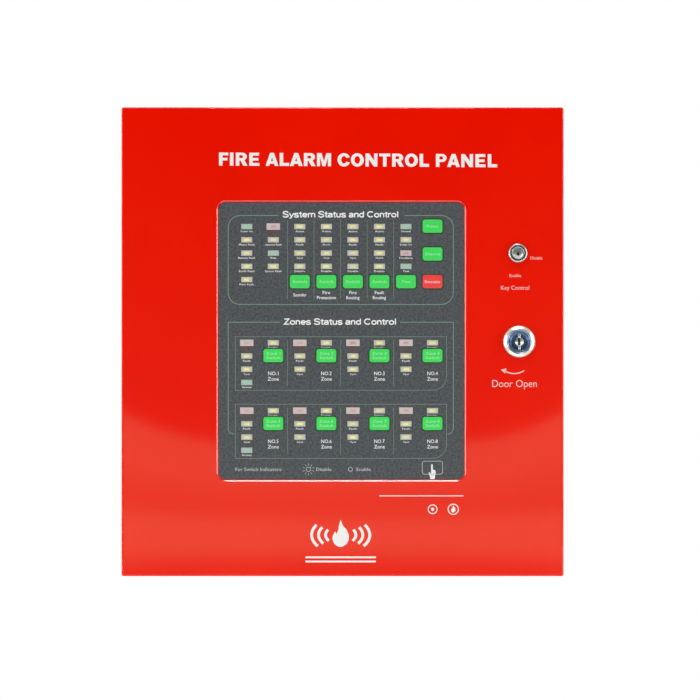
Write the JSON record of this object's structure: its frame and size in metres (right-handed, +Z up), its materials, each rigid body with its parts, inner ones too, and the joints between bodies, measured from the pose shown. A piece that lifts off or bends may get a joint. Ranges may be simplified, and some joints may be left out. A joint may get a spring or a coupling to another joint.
{
  "type": "fire alarm control panel",
  "caption": "Wall-mounted steel fire alarm control panel: hinged door with a recessed indicator plate, keys, a key switch and a cam lock, over circuit boards, a supply and batteries.",
  "frame": {"origin": "centre of the flat face that lies against the wall", "axes": "+Y into the wall, so the door faces -Y; +X to the right as seen from the front; +Z up"},
  "size_m": [0.38, 0.108, 0.403],
  "materials": {
    "red_paint": "gloss powder coat",
    "plate_film": "fine grained film",
    "amber_lens": "clear tinted window",
    "green_lens": "clear tinted window",
    "red_lens": "clear tinted window",
    "led_epoxy": "clear epoxy",
    "circuit_board": "solder mask",
    "white_nylon": "moulded",
    "zinc_steel": "zinc plated",
    "bezel_chrome": "polished",
    "plug_steel": "turned",
    "rotor_steel": "satin",
    "ivory_plastic": "moulded",
    "black_plastic": "moulded",
    "black_rubber": "foam and moulded rubber",
    "terminal_green": "moulded",
    "relay_white": "moulded",
    "capacitor_sleeve": "shrunk sleeve",
    "fuse_glass": "glass tubes in plated clips",
    "brass": "plain",
    "battery_case": "moulded",
    "lead_insulation": "insulation",
    "supply_insulation": "insulation",
    "ribbon_insulation": "flat cable",
    "green_key": "satin moulded",
    "red_key": "satin moulded"
  },
  "bodies": {
    "box": {"back_box": "red_paint", "main_board": "circuit_board", "box_hinge_leaves": "zinc_steel", "fixing_screws": "zinc_steel", "battery_bracket": "zinc_steel", "power_supply": "zinc_steel", "hinge_pins": "plug_steel", "board_chips": "black_plastic", "main_header": "black_plastic", "door_gasket": "black_rubber", "cable_grommets": "black_rubber", "terminal_blocks": "terminal_green", "relays": "relay_white", "capacitors": "capacitor_sleeve", "fuses": "fuse_glass", "board_standoffs": "brass", "earth_stud": "brass", "battery_tabs": "brass", "batteries": "battery_case", "battery_leads": "lead_insulation", "supply_leads": "supply_insulation", "ribbon_cable": "ribbon_insulation"},
    "door": {"door_panel": "red_paint", "front_plate": "plate_film", "amber_windows": "amber_lens", "green_windows": "green_lens", "red_windows": "red_lens", "status_leds": "led_epoxy", "keypad_board": "circuit_board", "keypad_standoffs": "white_nylon", "keypad_nuts": "zinc_steel", "tact_switches": "black_plastic", "keypad_chips": "black_plastic", "keypad_header": "black_plastic", "buzzer": "black_plastic", "lock_housing": "bezel_chrome", "lock_nuts": "zinc_steel", "key_switch_housing": "bezel_chrome", "key_switch_contacts": "ivory_plastic", "door_hinge_leaves": "zinc_steel"},
    "lock_plug": {"lock_plug": "plug_steel", "lock_cam": "zinc_steel", "cam_screw": "zinc_steel"},
    "key_rotor": {"key_switch_rotor": "rotor_steel"},
    "reset_key": {"reset_button": "green_key"},
    "silence_key": {"silence_button": "green_key"},
    "evacuate_key": {"evacuate_button": "red_key"},
    "sounder_key": {"sounder_button": "green_key"},
    "fire_protection_key": {"fire_protection_button": "green_key"},
    "fire_routing_key": {"fire_routing_button": "green_key"},
    "fault_routing_key": {"fault_routing_button": "green_key"},
    "test_key": {"test_button": "green_key"},
    "zone_1_key": {"zone_1_button": "green_key"},
    "zone_2_key": {"zone_2_button": "green_key"},
    "zone_3_key": {"zone_3_button": "green_key"},
    "zone_4_key": {"zone_4_button": "green_key"},
    "zone_5_key": {"zone_5_button": "green_key"},
    "zone_6_key": {"zone_6_button": "green_key"},
    "zone_7_key": {"zone_7_button": "green_key"},
    "zone_8_key": {"zone_8_button": "green_key"}
  },
  "joints": [
    {"name": "door_hinge", "type": "hinge", "parent": "box", "child": "door", "pos_m": [-0.1869, -0.0812, 0], "axis": [0, 0, -1], "range_deg": [0, 120], "deforming": ["ribbon_cable"]},
    {"name": "door_lock_turn", "type": "hinge", "parent": "door", "child": "lock_plug", "pos_m": [0.1518, -0.095, 0.0002], "axis": [0, -1, 0], "range_deg": [0, 90]},
    {"name": "key_switch_turn", "type": "hinge", "parent": "door", "child": "key_rotor", "pos_m": [0.1507, -0.095, 0.0762], "axis": [0, -1, 0], "range_deg": [0, 90]},
    {"name": "reset_press", "type": "slide", "parent": "door", "child": "reset_key", "axis": [0, 1, 0], "range_m": [0, 0.0005], "stiffness_N_per_m": 800, "springref_m": -0.0005},
    {"name": "silence_press", "type": "slide", "parent": "door", "child": "silence_key", "axis": [0, 1, 0], "range_m": [0, 0.0005], "stiffness_N_per_m": 800, "springref_m": -0.0005},
    {"name": "evacuate_press", "type": "slide", "parent": "door", "child": "evacuate_key", "axis": [0, 1, 0], "range_m": [0, 0.0005], "stiffness_N_per_m": 800, "springref_m": -0.0005},
    {"name": "sounder_press", "type": "slide", "parent": "door", "child": "sounder_key", "axis": [0, 1, 0], "range_m": [0, 0.0005], "stiffness_N_per_m": 800, "springref_m": -0.0005},
    {"name": "fire_protection_press", "type": "slide", "parent": "door", "child": "fire_protection_key", "axis": [0, 1, 0], "range_m": [0, 0.0005], "stiffness_N_per_m": 800, "springref_m": -0.0005},
    {"name": "fire_routing_press", "type": "slide", "parent": "door", "child": "fire_routing_key", "axis": [0, 1, 0], "range_m": [0, 0.0005], "stiffness_N_per_m": 800, "springref_m": -0.0005},
    {"name": "fault_routing_press", "type": "slide", "parent": "door", "child": "fault_routing_key", "axis": [0, 1, 0], "range_m": [0, 0.0005], "stiffness_N_per_m": 800, "springref_m": -0.0005},
    {"name": "test_press", "type": "slide", "parent": "door", "child": "test_key", "axis": [0, 1, 0], "range_m": [0, 0.0005], "stiffness_N_per_m": 800, "springref_m": -0.0005},
    {"name": "zone_1_press", "type": "slide", "parent": "door", "child": "zone_1_key", "axis": [0, 1, 0], "range_m": [0, 0.0005], "stiffness_N_per_m": 800, "springref_m": -0.0005},
    {"name": "zone_2_press", "type": "slide", "parent": "door", "child": "zone_2_key", "axis": [0, 1, 0], "range_m": [0, 0.0005], "stiffness_N_per_m": 800, "springref_m": -0.0005},
    {"name": "zone_3_press", "type": "slide", "parent": "door", "child": "zone_3_key", "axis": [0, 1, 0], "range_m": [0, 0.0005], "stiffness_N_per_m": 800, "springref_m": -0.0005},
    {"name": "zone_4_press", "type": "slide", "parent": "door", "child": "zone_4_key", "axis": [0, 1, 0], "range_m": [0, 0.0005], "stiffness_N_per_m": 800, "springref_m": -0.0005},
    {"name": "zone_5_press", "type": "slide", "parent": "door", "child": "zone_5_key", "axis": [0, 1, 0], "range_m": [0, 0.0005], "stiffness_N_per_m": 800, "springref_m": -0.0005},
    {"name": "zone_6_press", "type": "slide", "parent": "door", "child": "zone_6_key", "axis": [0, 1, 0], "range_m": [0, 0.0005], "stiffness_N_per_m": 800, "springref_m": -0.0005},
    {"name": "zone_7_press", "type": "slide", "parent": "door", "child": "zone_7_key", "axis": [0, 1, 0], "range_m": [0, 0.0005], "stiffness_N_per_m": 800, "springref_m": -0.0005},
    {"name": "zone_8_press", "type": "slide", "parent": "door", "child": "zone_8_key", "axis": [0, 1, 0], "range_m": [0, 0.0005], "stiffness_N_per_m": 800, "springref_m": -0.0005}
  ]
}
